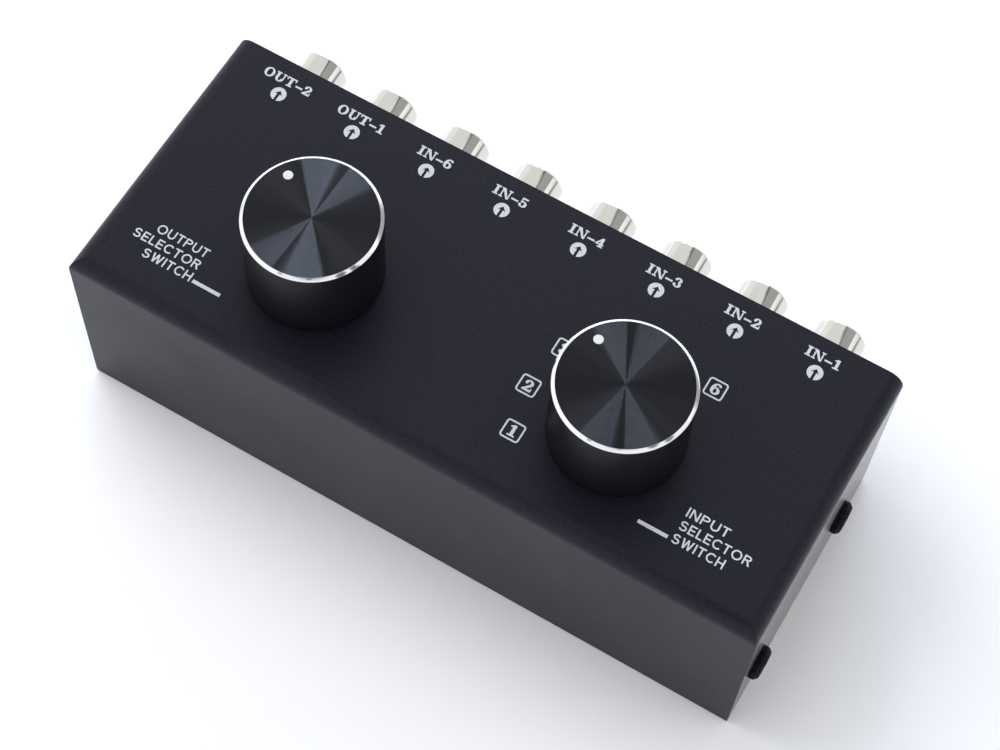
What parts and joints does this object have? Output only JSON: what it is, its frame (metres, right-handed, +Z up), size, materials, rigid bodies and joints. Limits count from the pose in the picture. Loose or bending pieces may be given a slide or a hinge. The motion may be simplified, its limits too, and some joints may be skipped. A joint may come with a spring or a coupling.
{
  "type": "audio source selector",
  "caption": "Black folded-metal audio source selector with rotary knobs on top for input and output, and rows of phono jacks along the back.",
  "frame": {"origin": "middle of the case's underside, on the surface it stands on", "axes": "+X to the right seen from the front, +Y to the back panel with the jacks, +Z up through the knobs"},
  "size_m": [0.1258, 0.0575, 0.0552],
  "materials": {
    "black_powder_coat": "fine texture, satin",
    "black_anodised": "spun top, bright cut rim",
    "black_screw": "black oxide",
    "nickel_plate": "bright nickel",
    "white_plastic": "moulded",
    "red_plastic": "moulded",
    "black_plastic": "moulded",
    "natural_plastic": "moulded",
    "white_paint": "filled paint",
    "contact_brass": "plated",
    "spring_steel": "rolled",
    "steel": "turned",
    "zinc_casting": "die cast",
    "phenolic": "laminate",
    "circuit_board": "solder mask",
    "ribbon_grey": "flexible"
  },
  "bodies": {
    "case": {"top_cover": "black_powder_coat", "base_tray": "black_powder_coat", "end_screws": "black_screw", "upper_inserts": "white_plastic", "lower_inserts": "red_plastic", "jack_contacts": "contact_brass", "jack_pins": "nickel_plate", "jack_board": "circuit_board", "board_standoffs": "contact_brass", "board_screws": "steel", "ribbon_headers": "natural_plastic", "jack_block_out_2": "black_plastic", "jack_block_out_1": "black_plastic", "jack_block_in_6": "black_plastic", "jack_block_in_5": "black_plastic", "jack_block_in_4": "black_plastic", "jack_block_in_3": "black_plastic", "jack_block_in_2": "black_plastic", "jack_block_in_1": "black_plastic", "jack_shells_out_2": "nickel_plate", "jack_shells_out_1": "nickel_plate", "jack_shells_in_6": "nickel_plate", "jack_shells_in_5": "nickel_plate", "jack_shells_in_4": "nickel_plate", "jack_shells_in_3": "nickel_plate", "jack_shells_in_2": "nickel_plate", "jack_shells_in_1": "nickel_plate", "output_bushing": "zinc_casting", "output_nut": "nickel_plate", "output_washer": "nickel_plate", "output_housing": "black_plastic", "output_index_leaf": "spring_steel", "output_wafer": "phenolic", "output_terminals": "contact_brass", "output_switch_board": "circuit_board", "output_ribbon": "ribbon_grey", "input_bushing": "zinc_casting", "input_nut": "nickel_plate", "input_washer": "nickel_plate", "input_housing": "black_plastic", "input_index_leaf": "spring_steel", "input_wafer": "phenolic", "input_terminals": "contact_brass", "input_switch_board": "circuit_board", "input_ribbon": "ribbon_grey"},
    "output_selector": {"output_knob": "black_anodised", "output_knob_core": "black_plastic", "output_pointer": "white_paint", "output_shaft": "steel", "output_index_wheel": "natural_plastic", "output_rotor": "natural_plastic", "output_wipers": "contact_brass"},
    "input_selector": {"input_knob": "black_anodised", "input_knob_core": "black_plastic", "input_pointer": "white_paint", "input_shaft": "steel", "input_index_wheel": "natural_plastic", "input_rotor": "natural_plastic", "input_wipers": "contact_brass"}
  },
  "joints": [
    {"name": "output_selector_turn", "type": "hinge", "parent": "case", "child": "output_selector", "pos_m": [-0.02705, -0.00595, 0.0388], "axis": [0, 0, 1], "range_deg": [-30, 0]},
    {"name": "input_selector_turn", "type": "hinge", "parent": "case", "child": "input_selector", "pos_m": [0.02705, -0.00595, 0.0388], "axis": [0, 0, 1], "range_deg": [-90, 60]}
  ]
}
